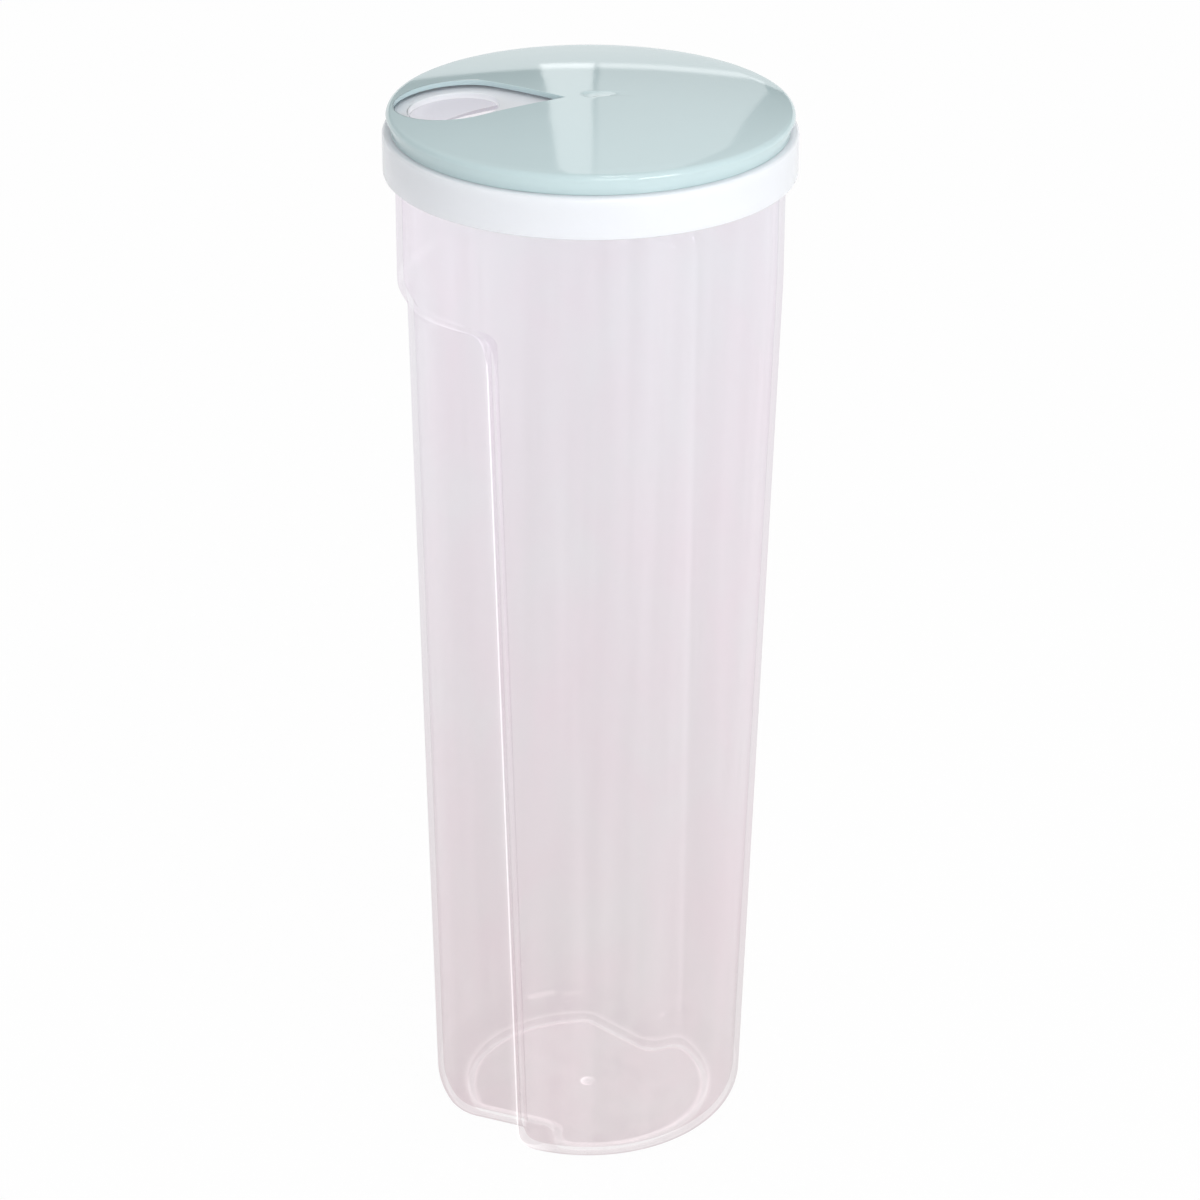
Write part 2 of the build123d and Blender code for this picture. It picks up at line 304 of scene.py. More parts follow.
def makeCanister(material):
    c = canister
    rings, paintedHighlights, faceSides = [], [], []
    gateBottom = c["footHeight"] - c["gateHeight"]
    hollowInset = c["baseRound"] + c["footWidth"]
    shape = gripSection(0, hollowInset)

    def add(ring, catch=0.0, face=1.0):
        # catch is the ring's painted highlight; face is 0 inside, 1 outside, and a little more where the
        # base's rounding is seen through once
        rings.append(ring)
        paintedHighlights.append(catch if isinstance(catch, list) else [catch] * len(ring))
        faceSides.append([face] * len(ring))

    def addWall(made, face):
        for ring, catch in zip(*made):
            add(ring, catch, face)

    def towardsGate(radius, z, share):
        # from the gate mark's circle out to the foot hollow's outline
        half = [p.normalized() * radius * (1 - share) + p * share for p in shape]
        return wholeRing(half, [z] * len(half))

    # painted highlights on the gate mark's rings
    gate = c["gateRadius"]
    for radius, z, catch in (
        (gate * 0.5, gateBottom, 0.4), (gate - 0.2, gateBottom, 0.7),
        (gate, gateBottom + 0.1, 1.0), (gate, c["footHeight"] - 0.1, 1.0),
        (gate + 0.2, c["footHeight"], 0.5), (gate + 0.6, c["footHeight"], 0.0),
    ):
        ring = towardsGate(radius, z, 0)
        add(ring, [catch * (1 - 0.7 * x / radius) for x, _, _ in ring])
    for share, catch in ((0.25, 0.0), (0.5, 0.0), (0.75, 0.0), (0.97, 0.0), (0.99, 0.4)):
        add(towardsGate(gate, c["footHeight"], share), catch)
    # painted highlights along the foot ring
    for inset, z, catch in (
        (0.0, c["footHeight"] - 0.12, 0.7), (0.0, 0.12, 0.7),
        (-0.12, 0.0, 0.6), (-0.45, 0.0, 0.4), (-0.75, 0.0, 0.0),
    ):
        add(flatRing(z, hollowInset + inset), catch, 1 + c["thinBase"])
    # the base's rounding gets the plan's painted highlights and a painted line at the foot
    for angle in spread(0, 90, c["baseSteps"]):
        t = math.radians(angle)
        ring = flatRing(c["baseRound"] * (1 - math.cos(t)), c["baseRound"] * (1 - math.sin(t)))
        foot = 0.2 * math.exp(-((angle / 5) ** 2))
        lit = [max(v * c["outsideCatch"] * t, foot) for v in wholeHighlight(planHighlight)]
        add(ring, lit, 1 + c["thinBase"] * (1 - angle / 90))

    beadFoot = c["mouthHeight"] - c["beadHeight"] - c["beadDepth"]
    addWall(wallRings(0, c["baseRound"] + 0.8, beadFoot - 0.4), 1.0)

    beadRadius = c["collarRadius"] + c["beadDepth"]
    mouthRadius = c["collarRadius"] - c["wall"]
    reference = gripSection(c["mouthHeight"], 0)
    # a faint painted highlight on the bead and the mouth
    for radius, z in (
        (c["collarRadius"] + 0.1, beadFoot),
        (beadRadius - 0.1, beadFoot + c["beadDepth"] - 0.1),
        (beadRadius, beadFoot + c["beadDepth"] + 0.2),
        (beadRadius, c["mouthHeight"] - 0.35),
        (beadRadius - 0.1, c["mouthHeight"] - 0.1),
        (beadRadius - 0.35, c["mouthHeight"]),
        (mouthRadius + 0.35, c["mouthHeight"]),
        (mouthRadius + 0.1, c["mouthHeight"] - 0.1),
        (mouthRadius, c["mouthHeight"] - 0.35),
    ):
        add(wholeRing([p.normalized() * radius for p in reference], [z] * len(reference)), 0.15)

    innerRound = c["baseRound"] - c["wall"]
    inner = wallRings(c["wall"], c["floor"] + innerRound + 0.8, c["mouthHeight"] - 1)
    addWall([list(reversed(part)) for part in inner], 0.0)
    # a painted highlight along the inside fillet where it meets the floor
    for angle in spread(90, 0, c["insideBaseSteps"]):
        t = math.radians(angle)
        z = c["floor"] + innerRound * (1 - math.cos(t))
        ring = flatRing(z, c["wall"] + innerRound * (1 - math.sin(t)))
        add(ring, 0.3 * math.exp(-((angle / 8) ** 2)), 0.0)
    floorRing = rings[-1]
    for share in (0.985, 0.8, 0.6, 0.4, 0.2, 0.06):
        add([(x * share, y * share, c["floor"]) for x, y, _ in floorRing], 0.0, 0.0)

    points, faces = skinRings(rings, firstPole=(0, 0, gateBottom), lastPole=(0, 0, c["floor"]))
    layers = {}
    for name, values, ends in (("paintedHighlight", paintedHighlights, [0.4, 0.0]), ("outerFace", faceSides, [1.0, 0.0])):
        layers[name] = [v for ring in values for v in ring] + ends
    return makeMesh("canisterShell", points, faces, material, layers)


lid = {
    "skirtInner": 50.95, "skirtOuter": 52.5, "skirtBottom": 273.2, "shoulder": 283.8, "seat": 282.0,
    "turretRadius": 49.85, "plateGap": 0.8, "plate": 1.6, "plugOuter": 47.45, "plugInner": 46.15,
    "plugBottom": 276.0, "holeRadius": 11.4, "holeOffset": 34.4, "bossRadius": 5.2, "boreRadius": 3.05,
    "bossGap": 0.3, "edgeRound": 0.3, "shoulderRound": 0.9, "segments": 256, "bossSegments": 48,
    "plateShares": (0.06, 0.15, 0.3, 0.45, 0.6, 0.75, 0.9),
}


def azimuths(count, towards):
    return [math.radians(towards) + 2 * math.pi * k / count for k in range(count)]


def plateHeight(r, below=0.0):
    # the plate is domed like the cover that turns over it
    return domeHeight(r, cover["wall"] + lid["plateGap"] + below)


def makeLid(material):
    s = lid
    angles = azimuths(s["segments"], cover["openingAngle"])
    centre = Vector((math.cos(angles[0]), math.sin(angles[0]))) * s["holeOffset"]
    rays = [Vector((math.cos(t), math.sin(t))) for t in angles]
    holeWays = [(ray * s["turretRadius"] - centre).normalized() for ray in rays]
    holeEdge = [centre + way * s["holeRadius"] for way in holeWays]

    def holeRing(extra, below):
        ring = [centre + way * (s["holeRadius"] + extra) for way in holeWays]
        return [(*p, plateHeight(p.length, below)) for p in ring]

    def plateRing(share, outside, below):
        ring = [hole + (ray * outside - hole) * share for hole, ray in zip(holeEdge, rays)]
        return [(*p, plateHeight(p.length, below)) for p in ring]

    e = s["edgeRound"]
    rings = []
    for angle in spread(0, 90, 4):
        t = math.radians(angle)
        rings.append(holeRing(e * (1 - math.cos(t)), e * (1 - math.sin(t))))
    rings += [plateRing(share, s["turretRadius"] - e, 0) for share in s["plateShares"]]
    # the first and the last corner only give the profile its direction on the plate
    lead = 40
    outline = roundedProfile([
        (lead, plateHeight(lead), 0),
        (s["turretRadius"], plateHeight(s["turretRadius"]), e),
        (s["turretRadius"], s["shoulder"], 0.25),
        (s["skirtOuter"], s["shoulder"], s["shoulderRound"]),
        (s["skirtOuter"] - 0.02, s["skirtBottom"], e),
        (s["skirtInner"], s["skirtBottom"], e),
        (s["skirtInner"], s["seat"], 0.3),
        (s["plugOuter"], s["seat"], 0.3),
        (s["plugOuter"] - 0.15, s["plugBottom"], 0.4),
        (s["plugInner"] + 0.15, s["plugBottom"], 0.4),
        (s["plugInner"], plateHeight(s["plugInner"], s["plate"]), 0.2),
        (lead, plateHeight(lead, s["plate"]), 0),
    ])[1:-1]
    rings += [[(*(ray * radius), z) for ray in rays] for radius, z in outline]
    under = s["plugInner"] - 0.25
    rings += [plateRing(share, under, s["plate"]) for share in reversed(s["plateShares"])]
    for angle in spread(90, 0, 3):
        t = math.radians(angle)
        rings.append(holeRing(e * (1 - math.cos(t)), s["plate"] - e * (1 - math.sin(t))))
    points, faces = skinRings(rings, loop=True)

    # boss that carries the cover's pin
    top = domeHeight(s["bossRadius"], cover["wall"]) - s["bossGap"]
    bossAngles = azimuths(s["bossSegments"], 0)
    bossProfile = roundedProfile([
        (s["boreRadius"], plateHeight(s["boreRadius"], s["plate"]) - 0.01, 0.1),
        (s["boreRadius"], top, 0.1),
        (s["bossRadius"], top, 0.15),
        (s["bossRadius"], plateHeight(s["bossRadius"]) - 0.5, 0),
    ])
    bossRings = [[(r * math.cos(t), r * math.sin(t), z) for t in bossAngles] for r, z in bossProfile]
    bossPoints, bossFaces = skinRings(bossRings, loop=True)
    shift = len(points)
    points += bossPoints
    faces += [tuple(shift + v for v in f) for f in bossFaces]

    # the lid's inner faces, which get a painted glow for the light that comes through the thin plastic
    inner = []
    for x, y, z in points:
        r = math.hypot(x, y)
        besideRim = r < s["skirtInner"] + 0.2 and z <= s["seat"]
        underPlate = r < s["plugInner"] + 0.3 and z < plateHeight(r) - 0.4
        inner.append(1.0 if besideRim or underPlate else 0.0)
    return makeMesh("portionLidShell", points, faces, material, {"innerFace": inner})


cover = {
    "radius": 51.5, "inner": 50.15, "bottom": 283.92, "rim": 289.1, "rise": 3.4, "wall": 1.35,
    "rimRound": 1.3, "edgeRound": 0.22, "openingRadius": 15.2, "openingOffset": 34.4, "openingAngle": 179.0,
    "openingLead": 19.0, "openingTip": 6.8, "dimpleRadius": 1.9, "dimpleDepth": 0.3,
    "pinRadius": 3.0, "barbDepth": 0.75, "barbGap": 0.2, "barbLength": 2.4, "barbTaper": 1.3,
    "slotWidth": 1.2, "segments": 320, "dimpleSoftness": 0.12, "domeJoin": 40,
}


def domeHeight(r, drop=0.0):
    c = cover
    sphere = (c["radius"] ** 2 + c["rise"] ** 2) / (2 * c["rise"])
    return c["rim"] + c["rise"] - sphere + math.sqrt((sphere - drop) ** 2 - r ** 2)


def makeCover(material):
    c = cover
    aim = math.radians(c["openingAngle"])
    centre = Vector((math.cos(aim), math.sin(aim))) * c["openingOffset"]
    tipAim = aim + math.radians(c["openingLead"])
    tip = Vector((math.cos(tipAim), math.sin(tipAim))) * c["openingTip"]
    toTip = tip - centre
    towards = math.atan2(toTip.y, toTip.x)
    opening = math.acos(c["openingRadius"] / toTip.length)

    # the ring of azimuths starts where the ray from the round end through the tip meets the rim
    way = toTip.normalized()
    along = centre.dot(way)
    far = centre + way * (-along + math.sqrt(along ** 2 - centre.length_squared + c["inner"] ** 2))
    first = math.degrees(math.atan2(far.y, far.x))
    rays = [Vector((math.cos(t), math.sin(t))) for t in azimuths(c["segments"], first)]
    ways = [(ray * c["inner"] - centre).normalized() for ray in rays]

    def teardropReach(direction):
        turn = math.atan2(direction.y, direction.x) - towards
        turn = abs((turn + math.pi) % (2 * math.pi) - math.pi)
        if turn >= opening:
            return c["openingRadius"]
        return c["openingRadius"] / math.cos(opening - turn)

    def edgeAt(extra):
        return [centre + w * (teardropReach(w) + extra) for w in ways]

    edge = edgeAt(0)
    e = c["edgeRound"]
    rings = []
    for angle in spread(0, 90, 4):
        t = math.radians(angle)
        out = edgeAt(e * (1 - math.cos(t)))
        rings.append([(*p, domeHeight(p.length) - e * (1 - math.sin(t))) for p in out])
    rimStart = c["radius"] - c["rimRound"]
    # close rings where they pass the pivot's dimple
    shares = [0.006, 0.02, 0.045, 0.07, *spread(0.08, 0.158, 13)]
    shares += [0.18, 0.24, 0.35, 0.47, 0.6, 0.72, 0.83, 0.93]
    for share in shares:
        ring = []
        for p, ray in zip(edge, rays):
            q = p + (ray * rimStart - p) * share
            ring.append((*q, dimpled(q)))
        rings.append(ring)
    rimTop = domeHeight(rimStart)
    rimEnd = (c["radius"], c["rim"] - c["rimRound"] - 0.1)
    outline = roundedCorner((rimStart, rimTop), (c["radius"], c["rim"] - 0.02), rimEnd, 7)
    outline += roundedProfile([
        (c["radius"] - 0.01, c["bottom"], 0.35),
        (c["inner"], c["bottom"], 0.25),
        (c["inner"], c["rim"] - c["wall"] - 0.05, 0.6),
        (c["domeJoin"], domeHeight(c["domeJoin"], c["wall"]) - 0.1, 0),
    ])[:-1]
    for r, z in outline:
        rings.append([(*(ray * r), z) for ray in rays])
    inner = outline[-1][0]
    for share in (0.85, 0.65, 0.45, 0.25, 0.08):
        ring = []
        for p, ray in zip(edge, rays):
            q = p + (ray * inner - p) * share
            ring.append((*q, domeHeight(q.length, c["wall"])))
        rings.append(ring)
    for angle in spread(90, 0, 3):
        t = math.radians(angle)
        out = edgeAt(e * (1 - math.cos(t)))
        rings.append([(*p, domeHeight(p.length, c["wall"]) + e * (1 - math.sin(t))) for p in out])
    points, faces = skinRings(rings, loop=True)

    for side in (1, -1):
        halfPoints, halfFaces = pinHalf(side)
        shift = len(points)
        points += halfPoints
        faces += [tuple(shift + v for v in f) for f in halfFaces]
    return makeMesh("turnCoverShell", points, faces, material)


def dimpled(p):
    # the dome's height with the moulding mark over the pivot
    c = cover
    depth = c["dimpleDepth"] / (1 + math.exp((p.length - c["dimpleRadius"]) / c["dimpleSoftness"]))
    return domeHeight(p.length) - depth


def pinHalf(side):
    # one half of the split snap pin, from the dome's underside down to its tapered tip
    c = cover
    tipRadius = c["pinRadius"] + c["barbDepth"] - c["barbTaper"]
    barb = c["pinRadius"] + c["barbDepth"]
    high = plateHeight(barb, lid["plate"]) - c["barbGap"]
    low = high - c["barbLength"]
    levels = [
        (tipRadius - 0.25, low), (tipRadius, low + 0.15), (barb - 0.12, high - 0.25),
        (barb, high - 0.08), (barb - 0.1, high), (c["pinRadius"], high + 0.02),
        (c["pinRadius"], domeHeight(0, c["wall"]) + 0.4),
    ]
    gap = c["slotWidth"] / 2
    rings = []
    for r, z in levels:
        start = math.asin(gap / r)
        arc = [(side * r * math.sin(t), r * math.cos(t), z) for t in spread(start, math.pi - start, 20)]
        rings.append(arc + [(side * gap, y, z) for y in spread(arc[-1][1], arc[0][1], 6)[1:-1]])
    points, faces = skinRings(rings)
    count = len(rings[0])
    faces.append(tuple(range(count)))
    faces.append(tuple(reversed(range(len(points) - count, len(points)))))
    return points, faces


def newMaterial(name):
    material = bpy.data.materials.new(name)
    material.use_nodes = True
    tree = material.node_tree
    return material, tree.nodes, tree.links, tree.nodes["Principled BSDF"]


def mouldedSurface():
    # slow changes of tone and gloss over a moulded part, with a very fine grain
    look = {"toneScale": 38, "patchScale": 120, "grainScale": 1400, "grainDepth": 0.0001}
    group = bpy.data.node_groups.new("mouldedSurface", "ShaderNodeTree")
    face = group.interface
    face.new_socket("Colour", in_out="INPUT", socket_type="NodeSocketColor")
    for name in ("Tone Change", "Roughness", "Roughness Change", "Grain"):
        face.new_socket(name, in_out="INPUT", socket_type="NodeSocketFloat")
    face.new_socket("Colour", in_out="OUTPUT", socket_type="NodeSocketColor")
    face.new_socket("Roughness", in_out="OUTPUT", socket_type="NodeSocketFloat")
    face.new_socket("Normal", in_out="OUTPUT", socket_type="NodeSocketVector")
    nodes, links = group.nodes, group.links
    given = nodes.new("NodeGroupInput")
    result = nodes.new("NodeGroupOutput")
    place = nodes.new("ShaderNodeTexCoord")

    def noise(scale, detail):
        node = nodes.new("ShaderNodeTexNoise")
        node.inputs["Scale"].default_value = scale
        node.inputs["Detail"].default_value = detail
        links.new(place.outputs["Object"], node.inputs["Vector"])
        return node.outputs["Fac"]

    def reckon(first, second, operation, third=None):
        node = nodes.new("ShaderNodeMath")
        node.operation = operation
        for socket, value in zip(node.inputs, (first, second, third)):
            if isinstance(value, (int, float)):
                socket.default_value = value
            elif value is not None:
                links.new(value, socket)
        return node.outputs[0]

    slow = reckon(noise(look["toneScale"], 2), 0.5, "SUBTRACT")
    tone = reckon(slow, given.outputs["Tone Change"], "MULTIPLY_ADD", 1.0)
    colour = nodes.new("ShaderNodeVectorMath")
    colour.operation = "SCALE"
    links.new(given.outputs["Colour"], colour.inputs[0])
    links.new(tone, colour.inputs["Scale"])
    links.new(colour.outputs["Vector"], result.inputs["Colour"])
    patch = reckon(noise(look["patchScale"], 3), 0.5, "SUBTRACT")
    gloss = reckon(patch, given.outputs["Roughness Change"], "MULTIPLY_ADD", given.outputs["Roughness"])
    links.new(gloss, result.inputs["Roughness"])
    bump = nodes.new("ShaderNodeBump")
    bump.inputs["Distance"].default_value = look["grainDepth"]
    links.new(given.outputs["Grain"], bump.inputs["Strength"])
    links.new(noise(look["grainScale"], 2), bump.inputs["Height"])
    links.new(bump.outputs["Normal"], result.inputs["Normal"])
    return group


def clearPlastic():
    # clear but slightly hazy moulded plastic, tinted a little warmer and darker towards the base and lighter
    # towards the top, as painted light that stands in for reflections
    look = {
        "baseTint": (0.857, 0.807, 0.821), "paintedLightTopTint": (0.912, 0.888, 0.922), "topHeight": 0.26,
        "milkiness": 0.04, "gloss": 0.45, "glossRoughness": 0.03, "edgeGloss": 0.06, "bend": 1.0005,
        "coatBend": 1.45, "roughness": 0.05, "highlightColour": (0.31, 0.325, 0.32),
        "sideLift": 0.045, "liftEnd": 0.7, "edgeShare": 0.55, "edgeFrom": 0.7, "edgeTo": 0.78,
        "fadeFrom": 0.45, "fadeTo": 0.95,
        "streakScale": (160, 160, 5), "streakStrength": 0.03,
        "bandScale": (38, 38, 3), "bandStrength": 0.02, "flowFrom": 0.35, "flowTo": 0.65,
        "patchScale": (34, 34, 20), "patchDetail": 4, "patchDistortion": 0.8,
        "warmPatch": (1.002, 0.989, 0.994), "coolPatch": (0.993, 1.012, 1.004),
    }
    material, nodes, links, shader = newMaterial("clearPlastic")
    place = nodes.new("ShaderNodeTexCoord")
    split = nodes.new("ShaderNodeSeparateXYZ")
    links.new(place.outputs["Object"], split.inputs[0])
    # painted light: the tint goes from the darker base colour to a lighter top
    height = nodes.new("ShaderNodeMapRange")
    height.inputs["From Max"].default_value = look["topHeight"]
    links.new(split.outputs["Z"], height.inputs["Value"])
    tint = nodes.new("ShaderNodeMix")
    tint.data_type = "RGBA"
    tint.inputs[6].default_value = (*look["baseTint"], 1)
    tint.inputs[7].default_value = (*look["paintedLightTopTint"], 1)
    links.new(height.outputs["Result"], tint.inputs["Factor"])

    # long vertical marks: fine streaks of flow marks from the moulding, and broad soft bands of painted
    # reflection
    marks = tint.outputs[2]
    for kind in ("streak", "band"):
        stretch = nodes.new("ShaderNodeMapping")
        stretch.inputs["Scale"].default_value = look[kind + "Scale"]
        links.new(place.outputs["Object"], stretch.inputs["Vector"])
        flow = nodes.new("ShaderNodeTexNoise")
        flow.inputs["Scale"].default_value = 1.0
        flow.inputs["Detail"].default_value = 3
        links.new(stretch.outputs["Vector"], flow.inputs["Vector"])
        shade = nodes.new("ShaderNodeMapRange")
        shade.inputs["From Min"].default_value = look["flowFrom"]
        shade.inputs["From Max"].default_value = look["flowTo"]
        shade.inputs["To Min"].default_value = 1 - look[kind + "Strength"]
        links.new(flow.outputs["Fac"], shade.inputs["Value"])
        colour = nodes.new("ShaderNodeVectorMath")
        colour.operation = "SCALE"
        links.new(marks, colour.inputs[0])
        links.new(shade.outputs["Result"], colour.inputs["Scale"])
        marks = colour.outputs["Vector"]

    # faint patches of warmer and greener tone in the plastic
    cloud = nodes.new("ShaderNodeMapping")
    cloud.inputs["Scale"].default_value = look["patchScale"]
    links.new(place.outputs["Object"], cloud.inputs["Vector"])
    drift = nodes.new("ShaderNodeTexNoise")
    drift.inputs["Scale"].default_value = 1.0
    drift.inputs["Detail"].default_value = look["patchDetail"]
    drift.inputs["Distortion"].default_value = look["patchDistortion"]
    links.new(cloud.outputs["Vector"], drift.inputs["Vector"])
    parted = nodes.new("ShaderNodeMapRange")
    parted.inputs["From Min"].default_value = look["flowFrom"]
    parted.inputs["From Max"].default_value = look["flowTo"]
    links.new(drift.outputs["Fac"], parted.inputs["Value"])
    hue = nodes.new("ShaderNodeMix")
    hue.data_type = "RGBA"
    hue.inputs[6].default_value = (*look["warmPatch"], 1)
    hue.inputs[7].default_value = (*look["coolPatch"], 1)
    links.new(parted.outputs["Result"], hue.inputs["Factor"])
    patched = nodes.new("ShaderNodeVectorMath")
    patched.operation = "MULTIPLY"
    links.new(marks, patched.inputs[0])
    links.new(hue.outputs[2], patched.inputs[1])
    marks = patched.outputs["Vector"]

    # seen edge on, a wall is crossed once and not twice: its outer face is then tinted twice as much
    facing = nodes.new("ShaderNodeLayerWeight")
    facing.inputs["Blend"].default_value = 0.5
    lift = nodes.new("ShaderNodeMapRange")
    lift.inputs["From Max"].default_value = look["liftEnd"]
    lift.inputs["To Min"].default_value = 1.0
    lift.inputs["To Max"].default_value = 1 + look["sideLift"]
    links.new(facing.outputs["Facing"], lift.inputs["Value"])
    lifted = nodes.new("ShaderNodeVectorMath")
    lifted.operation = "SCALE"
    links.new(marks, lifted.inputs[0])
    links.new(lift.outputs["Result"], lifted.inputs["Scale"])
    twice = nodes.new("ShaderNodeVectorMath")
    twice.operation = "MULTIPLY"
    links.new(marks, twice.inputs[0])
    links.new(marks, twice.inputs[1])
    side = nodes.new("ShaderNodeAttribute")
    side.attribute_name = "outerFace"
    edgeOn = nodes.new("ShaderNodeMapRange")
    edgeOn.inputs["From Min"].default_value = look["edgeFrom"]
    edgeOn.inputs["From Max"].default_value = look["edgeTo"]
    edgeOn.inputs["To Max"].default_value = look["edgeShare"]
    links.new(facing.outputs["Facing"], edgeOn.inputs["Value"])
    below = nodes.new("ShaderNodeMath")
    below.operation = "SUBTRACT"
    links.new(side.outputs["Fac"], below.inputs[0])
    below.inputs[1].default_value = 1.0
    share = nodes.new("ShaderNodeMath")
    share.operation = "MULTIPLY_ADD"
    share.use_clamp = True
    links.new(side.outputs["Fac"], share.inputs[0])
    links.new(edgeOn.outputs["Result"], share.inputs[1])
    links.new(below.outputs[0], share.inputs[2])
    shown = nodes.new("ShaderNodeMix")
    shown.data_type = "RGBA"
    links.new(share.outputs[0], shown.inputs["Factor"])
    links.new(lifted.outputs["Vector"], shown.inputs[6])
    links.new(twice.outputs["Vector"], shown.inputs[7])
    links.new(shown.outputs[2], shader.inputs["Base Color"])

    # painted highlights: an emission along creases and thick edges of the moulding stands in for the light
    # they gather
    crease = nodes.new("ShaderNodeAttribute")
    crease.attribute_name = "paintedHighlight"
    highlightEmission = nodes.new("ShaderNodeVectorMath")
    highlightEmission.operation = "SCALE"
    highlightEmission.inputs[0].default_value = look["highlightColour"]
    links.new(crease.outputs["Fac"], highlightEmission.inputs["Scale"])
    links.new(highlightEmission.outputs["Vector"], shader.inputs["Emission Color"])
    shader.inputs["Emission Strength"].default_value = 1.0

    # the gloss fades where the wall is seen edge on, so that the outline keeps the body's tint
    fade = nodes.new("ShaderNodeMapRange")
    fade.inputs["From Min"].default_value = look["fadeFrom"]
    fade.inputs["From Max"].default_value = look["fadeTo"]
    fade.inputs["To Min"].default_value = look["gloss"]
    fade.inputs["To Max"].default_value = look["edgeGloss"]
    links.new(facing.outputs["Facing"], fade.inputs["Value"])
    links.new(fade.outputs["Result"], shader.inputs["Coat Weight"])
    shader.inputs["Roughness"].default_value = look["roughness"]
    shader.inputs["IOR"].default_value = look["bend"]
    shader.inputs["Transmission Weight"].default_value = 1 - look["milkiness"]
    shader.inputs["Coat Roughness"].default_value = look["glossRoughness"]
    shader.inputs["Coat IOR"].default_value = look["coatBend"]
    return material


def solidPlastic(name, group, look):
    material, nodes, links, shader = newMaterial(name)
    surface = nodes.new("ShaderNodeGroup")
    surface.node_tree = group
    surface.inputs["Colour"].default_value = (*look["colour"], 1)
    surface.inputs["Tone Change"].default_value = look["toneChange"]
    surface.inputs["Roughness"].default_value = look["roughness"]
    surface.inputs["Roughness Change"].default_value = look["roughnessChange"]
    surface.inputs["Grain"].default_value = look["grain"]
    links.new(surface.outputs["Colour"], shader.inputs["Base Color"])
    links.new(surface.outputs["Roughness"], shader.inputs["Roughness"])
    links.new(surface.outputs["Normal"], shader.inputs["Normal"])
    shader.inputs["Subsurface Weight"].default_value = look["depth"]
    shader.inputs["Subsurface Radius"].default_value = (1, 1, 1)
    shader.inputs["Subsurface Scale"].default_value = look["reach"]
    return material


def paintInnerGlow(material, colour):
    # painted light: an emission on the inner faces stands in for what passes the thin plastic from outside
    nodes, links = material.node_tree.nodes, material.node_tree.links
    shader = nodes["Principled BSDF"]
    inner = nodes.new("ShaderNodeAttribute")
    inner.attribute_name = "innerFace"
    glow = nodes.new("ShaderNodeVectorMath")
    glow.operation = "SCALE"
    glow.inputs[0].default_value = colour
    links.new(inner.outputs["Fac"], glow.inputs["Scale"])
    links.new(glow.outputs["Vector"], shader.inputs["Emission Color"])
    shader.inputs["Emission Strength"].default_value = 1.0
    return material


whiteLook = {
    "colour": (0.822, 0.855, 0.912), "toneChange": 0.03, "roughness": 0.24, "roughnessChange": 0.12,
    "grain": 0.15, "depth": 0.6, "reach": 0.005, "innerGlowColour": (0.078, 0.071, 0.068),
}
sageLook = {
    "colour": (0.55, 0.685, 0.705), "toneChange": 0.03, "roughness": 0.05, "roughnessChange": 0.03,
    "grain": 0.03, "depth": 0.1, "reach": 0.0002,
}
plasticSurface = mouldedSurface()

bodyPiece = makeCanister(clearPlastic())
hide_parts("canister_body")
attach(bodyPiece, "canister")
print("canister body made:", len(bodyPiece.data.polygons), "faces")

whitePlastic = solidPlastic("whitePlastic", plasticSurface, whiteLook)
lidPiece = makeLid(paintInnerGlow(whitePlastic, whiteLook["innerGlowColour"]))
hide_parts("portion_lid")
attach(lidPiece, "lid")
print("portion lid made:", len(lidPiece.data.polygons), "faces")

coverPiece = makeCover(solidPlastic("sagePlastic", plasticSurface, sageLook))
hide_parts("turn_cover")
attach(coverPiece, "cover")
print("turning cover made:", len(coverPiece.data.polygons), "faces")


def makeFloor():
    # white to the camera, through the clear body and in reflections, with a small share left for the shadow
    look = {"colour": (0.9, 0.9, 0.9, 1), "roughness": 0.8, "whiteShare": 0.97, "halfSize": 4000}
    material, nodes, links, shader = newMaterial("paleFloor")
    shader.inputs["Base Color"].default_value = look["colour"]
    shader.inputs["Roughness"].default_value = look["roughness"]
    white = nodes.new("ShaderNodeEmission")
    white.inputs["Color"].default_value = (1, 1, 1, 1)
    path = nodes.new("ShaderNodeLightPath")
    mix = nodes.new("ShaderNodeMixShader")
    seen = nodes.new("ShaderNodeMath")
    seen.operation = "MAXIMUM"
    links.new(path.outputs["Is Camera Ray"], seen.inputs[0])
    links.new(path.outputs["Is Transmission Ray"], seen.inputs[1])
    also = nodes.new("ShaderNodeMath")
    also.operation = "MAXIMUM"
    links.new(seen.outputs[0], also.inputs[0])
    links.new(path.outputs["Is Glossy Ray"], also.inputs[1])
    share = nodes.new("ShaderNodeMath")
    share.operation = "MULTIPLY"
    share.inputs[1].default_value = look["whiteShare"]
    links.new(also.outputs[0], share.inputs[0])
    links.new(share.outputs[0], mix.inputs["Fac"])
    links.new(shader.outputs["BSDF"], mix.inputs[1])
    links.new(white.outputs["Emission"], mix.inputs[2])
    links.new(mix.outputs["Shader"], nodes["Material Output"].inputs["Surface"])
    size = look["halfSize"]
    corners = [(-size, -size, 0), (size, -size, 0), (size, size, 0), (-size, size, 0)]
    floor = makeMesh("floor", corners, [(0, 1, 2, 3)], material)


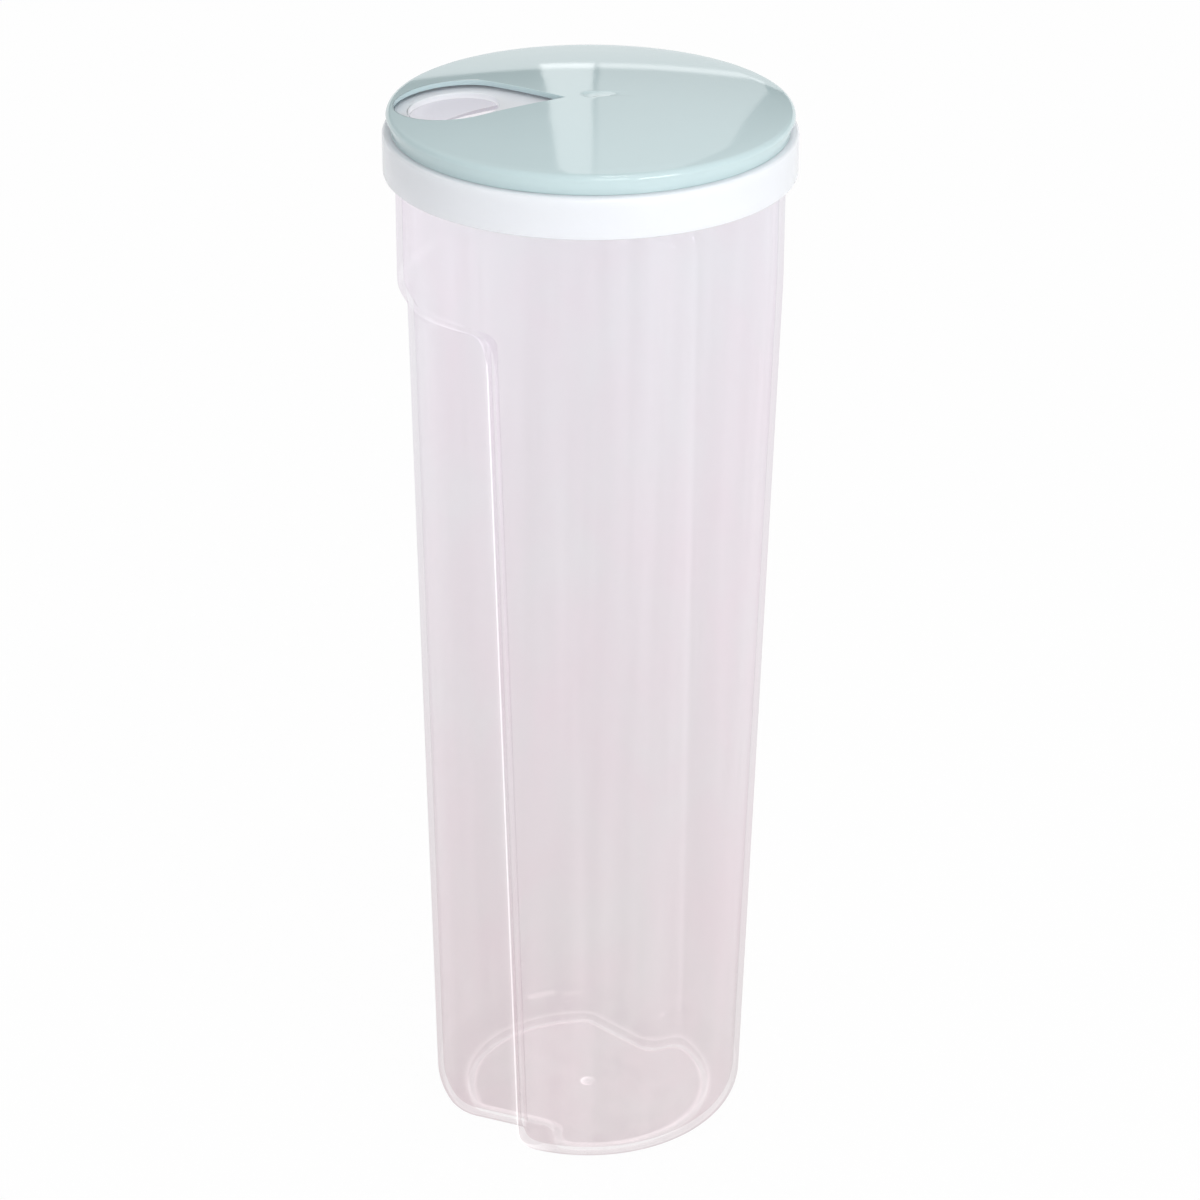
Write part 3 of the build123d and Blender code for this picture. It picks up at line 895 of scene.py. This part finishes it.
def makeWorld():
    # white to the camera and through the clear body; as a reflection, a white horizon under a dim upper room
    look = {
        "light": 0.68, "backWall": 0.1, "ceiling": 0.9, "ceilingHeight": 0.66,
        "horizon": 0.198, "horizonBlur": 0.004, "lowWall": 1.05,
    }
    world = bpy.data.worlds.new("studio")
    bpy.context.scene.world = world
    world.use_nodes = True
    nodes, links = world.node_tree.nodes, world.node_tree.links
    light = nodes["Background"]
    light.inputs["Color"].default_value = (1, 1, 1, 1)
    light.inputs["Strength"].default_value = look["light"]

    place = nodes.new("ShaderNodeTexCoord")
    split = nodes.new("ShaderNodeSeparateXYZ")
    links.new(place.outputs["Generated"], split.inputs[0])
    above = nodes.new("ShaderNodeMapRange")
    above.inputs["From Min"].default_value = look["horizon"] - look["horizonBlur"]
    above.inputs["From Max"].default_value = look["horizon"] + look["horizonBlur"]
    above.inputs["To Min"].default_value = look["lowWall"]
    above.inputs["To Max"].default_value = look["backWall"]
    links.new(split.outputs["Z"], above.inputs["Value"])
    room = nodes.new("ShaderNodeBackground")
    room.inputs["Color"].default_value = (1, 1, 1, 1)
    high = nodes.new("ShaderNodeMapRange")
    high.inputs["From Min"].default_value = look["horizon"]
    high.inputs["From Max"].default_value = look["ceilingHeight"]
    high.inputs["To Max"].default_value = look["ceiling"]
    links.new(split.outputs["Z"], high.inputs["Value"])
    both = nodes.new("ShaderNodeMath")
    links.new(above.outputs["Result"], both.inputs[0])
    links.new(high.outputs["Result"], both.inputs[1])
    links.new(both.outputs[0], room.inputs["Strength"])

    white = nodes.new("ShaderNodeBackground")
    white.inputs["Color"].default_value = (1, 1, 1, 1)
    path = nodes.new("ShaderNodeLightPath")
    seen = nodes.new("ShaderNodeMath")
    seen.operation = "MAXIMUM"
    links.new(path.outputs["Is Camera Ray"], seen.inputs[0])
    links.new(path.outputs["Is Transmission Ray"], seen.inputs[1])
    mirrored = nodes.new("ShaderNodeMixShader")
    links.new(path.outputs["Is Glossy Ray"], mirrored.inputs["Fac"])
    links.new(light.outputs["Background"], mirrored.inputs[1])
    links.new(room.outputs["Background"], mirrored.inputs[2])
    mix = nodes.new("ShaderNodeMixShader")
    links.new(seen.outputs[0], mix.inputs["Fac"])
    links.new(mirrored.outputs["Shader"], mix.inputs[1])
    links.new(white.outputs["Background"], mix.inputs[2])
    links.new(mix.outputs["Shader"], nodes["World Output"].inputs["Surface"])


def addLamp(name, place, aim, width, height, power):
    data = bpy.data.lights.new(name, "AREA")
    data.shape = "RECTANGLE"
    data.size, data.size_y = width, height
    data.energy = power
    lamp = bpy.data.objects.new(name, data)
    bpy.context.scene.collection.objects.link(lamp)
    lamp.location = place
    lamp.rotation_euler = (Vector(aim) - Vector(place)).to_track_quat("-Z", "Y").to_euler()


def makeCamera():
    # the lens is given by its focal length in pixels of the square frame
    view = {
        "place": (0, -0.94911, 0.61056), "turn": -0.1715, "down": 25.803, "roll": 0.0041,
        "focal": 3962, "frame": 1200, "sensor": 36,
    }
    data = bpy.data.cameras.new("camera")
    data.sensor_width = view["sensor"]
    data.lens = view["sensor"] * view["focal"] / view["frame"]
    data.clip_start, data.clip_end = 0.05, 50
    camera = bpy.data.objects.new("camera", data)
    bpy.context.scene.collection.objects.link(camera)
    camera.matrix_world = (
        Matrix.Translation(view["place"])
        @ Matrix.Rotation(math.radians(view["turn"]), 4, "Z")
        @ Matrix.Rotation(math.radians(90 - view["down"]), 4, "X")
        @ Matrix.Rotation(view["roll"], 4, "Z")
    )
    bpy.context.scene.camera = camera


# name: place, aim, width, height, power
lamps = {
    "frontKey": ((0.25, -1.35, 0.8), (0, 0, 0.25), 0.5, 0.5, 3.1),
    "frontFill": ((0.9, -1.2, 0.45), (0, 0, 0.2), 0.6, 0.6, 6.8),
    "overhead": ((0.25, -0.47, 1.7), (0, 0, 0.29), 0.3, 0.12, 2.2),
    "backStrip": ((-0.026, 1.5, 1.10), (-0.026, 0, 1.10), 0.06, 1.1, 0.24),
    "backWindow": ((0.112, 1.5, 1.10), (0.112, 0, 1.10), 0.204, 1.1, 0.43),
}
makeFloor()
makeWorld()
for lampName, settings in lamps.items():
    addLamp(lampName, *settings)
makeCamera()
bpy.context.scene.view_settings.view_transform = "Standard"
print("stage, lights and camera set")
